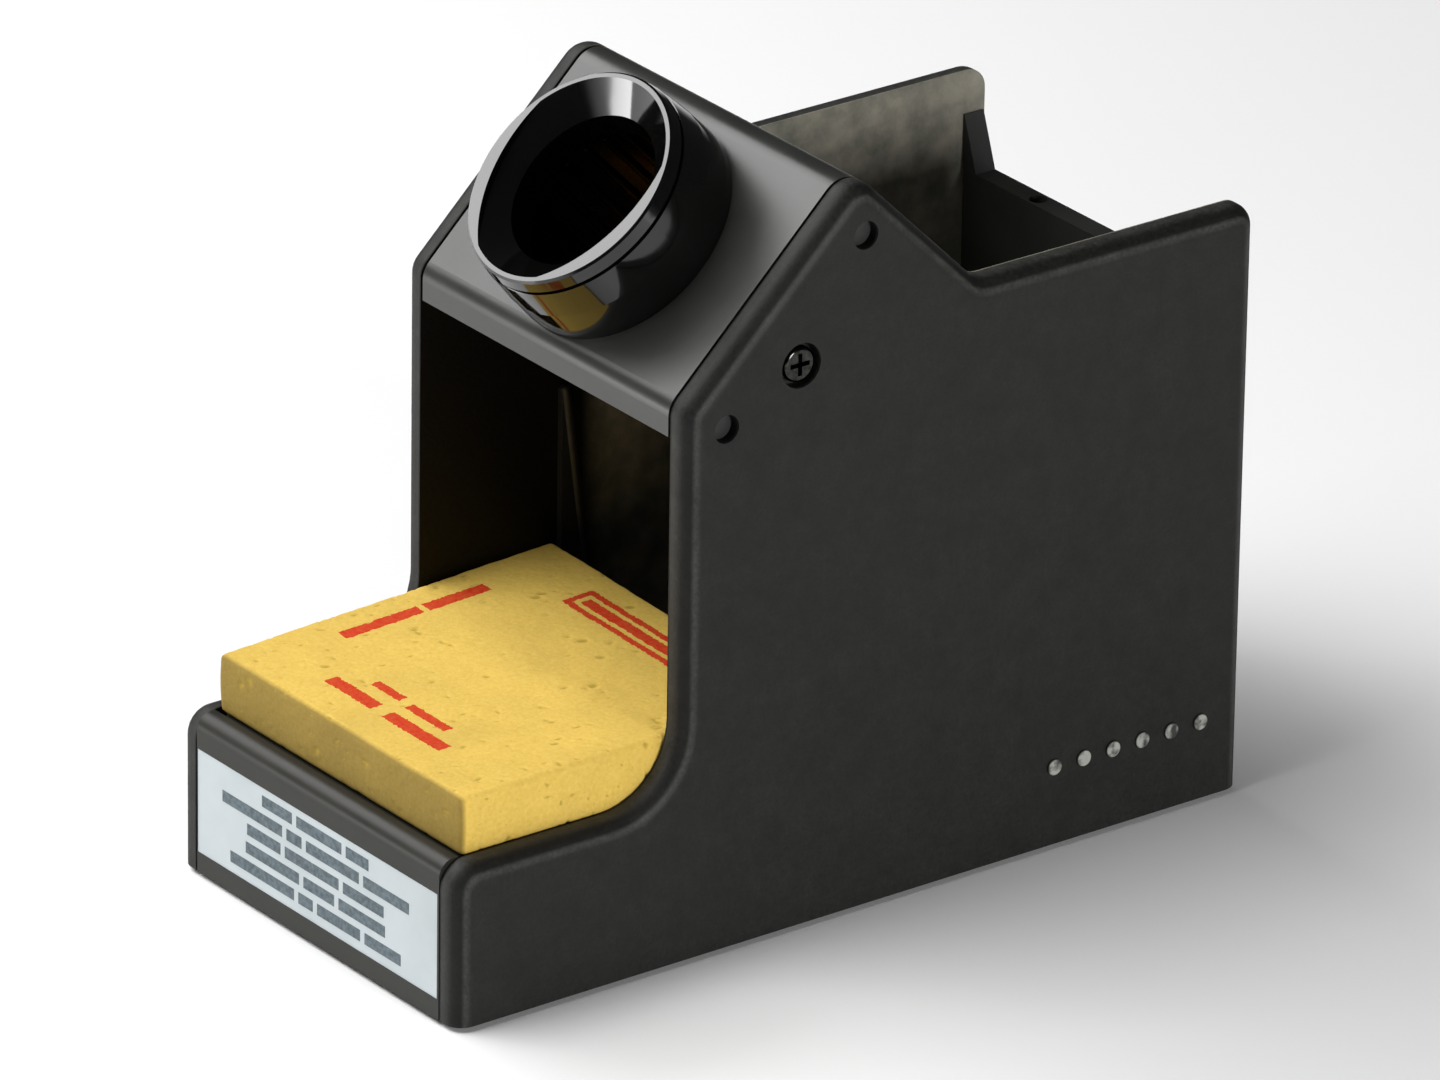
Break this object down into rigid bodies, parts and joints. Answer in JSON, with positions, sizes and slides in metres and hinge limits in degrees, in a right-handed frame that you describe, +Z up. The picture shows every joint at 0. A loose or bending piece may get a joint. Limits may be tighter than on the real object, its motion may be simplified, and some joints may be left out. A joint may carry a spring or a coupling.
{
  "type": "soldering iron stand",
  "caption": "Bench stand for a soldering iron: slanted cup on a gabled roof between two side plates, wet sponge in a lift-out tray in front, open bin behind.",
  "frame": {"origin": "centre of the stand's footprint, on the plane of its feet", "axes": "+X to the right, +Y from the sponge end to the back, +Z up"},
  "size_m": [0.081, 0.1654, 0.1416],
  "materials": {
    "plate_paint": "dark charcoal, fine speckled texture, satin",
    "panel_paint": "dark grey, satin",
    "roof_paint": "smooth grey, satin",
    "wall_plastic": "dark charcoal, matte",
    "base_plastic": "black, matte",
    "cup_plastic": "black, high gloss",
    "liner_steel": "bright, drawn",
    "ring_metal": "black anodised edge, satin",
    "deflector_steel": "dull, rolled",
    "screw_zinc": "bright zinc plated",
    "insert_brass": "plain",
    "peg_plastic": "black, matte",
    "ballast_iron": "as cast",
    "foot_rubber": "black",
    "label_foil": "pale bluish white, satin",
    "tray_plastic": "black, matte",
    "sponge_cellulose": "yellow, open pored"
  },
  "bodies": {
    "stand": {"side_plate_right": "plate_paint", "side_plate_left": "plate_paint", "front_panel": "panel_paint", "rear_wall": "wall_plastic", "base_tub": "base_plastic", "bottom_cover": "base_plastic", "rubber_feet": "foot_rubber", "ballast_block": "ballast_iron", "roof_cover": "roof_paint", "locating_pegs": "peg_plastic", "roof_screws": "screw_zinc", "roof_inserts": "insert_brass", "heat_deflector": "deflector_steel", "deflector_rivets": "deflector_steel", "deflector_screws": "screw_zinc", "iron_cup": "cup_plastic", "cup_liner": "liner_steel", "cup_lock_ring": "ring_metal", "tray_backstop": "base_plastic", "backstop_screws": "screw_zinc", "bottom_screws": "screw_zinc", "plate_screws": "screw_zinc", "panel_screws": "screw_zinc", "front_label": "label_foil"},
    "sponge_tray": {"sponge_tray": "tray_plastic"},
    "sponge": {"sponge": "sponge_cellulose"}
  },
  "joints": [
    {"name": "tray_lift", "type": "slide", "parent": "stand", "child": "sponge_tray", "axis": [0, 0, 1], "range_m": [0, 0.022]},
    {"name": "sponge_lift", "type": "slide", "parent": "sponge_tray", "child": "sponge", "axis": [0, 0, 1], "range_m": [0, 0.024]}
  ]
}
